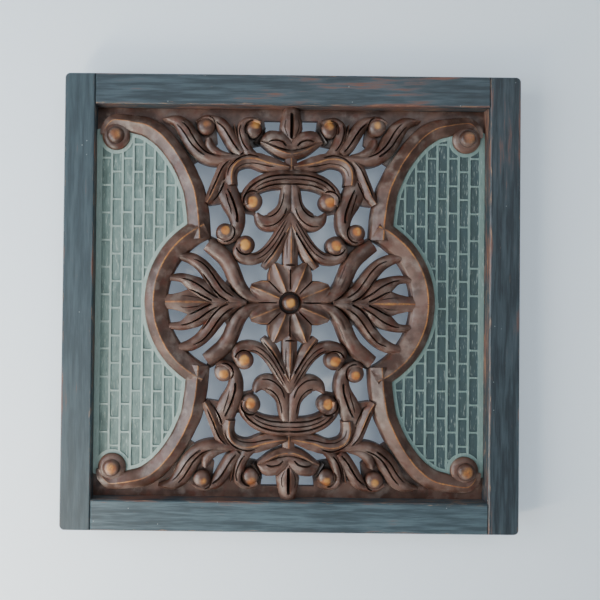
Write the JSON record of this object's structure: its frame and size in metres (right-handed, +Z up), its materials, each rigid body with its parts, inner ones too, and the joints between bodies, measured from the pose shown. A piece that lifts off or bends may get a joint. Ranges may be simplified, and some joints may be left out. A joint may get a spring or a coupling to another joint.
{
  "type": "carved wall panel",
  "caption": "Square openwork wall panel: a carved flower, leaves and scrolls between brick-patterned side fields, in a plain painted frame.",
  "frame": {"origin": "middle of the top rail's back face, where the panel hangs on the wall; the panel's centre is 280 mm below it", "axes": "+Z up, +Y into the wall, so the carved front faces -Y; +X to the viewer's right"},
  "size_m": [0.6, 0.025, 0.6],
  "materials": {
    "carving": "carved wood painted bronze brown with gold on the ridges; side fields pale grey-green",
    "frame_paint": "distressed blue-grey paint over wood, worn through at the edges"
  },
  "bodies": {
    "root": {"carved_panel": "carving", "stile_left": "frame_paint", "stile_right": "frame_paint", "rail_top": "frame_paint", "rail_bottom": "frame_paint"}
  },
  "joints": []
}
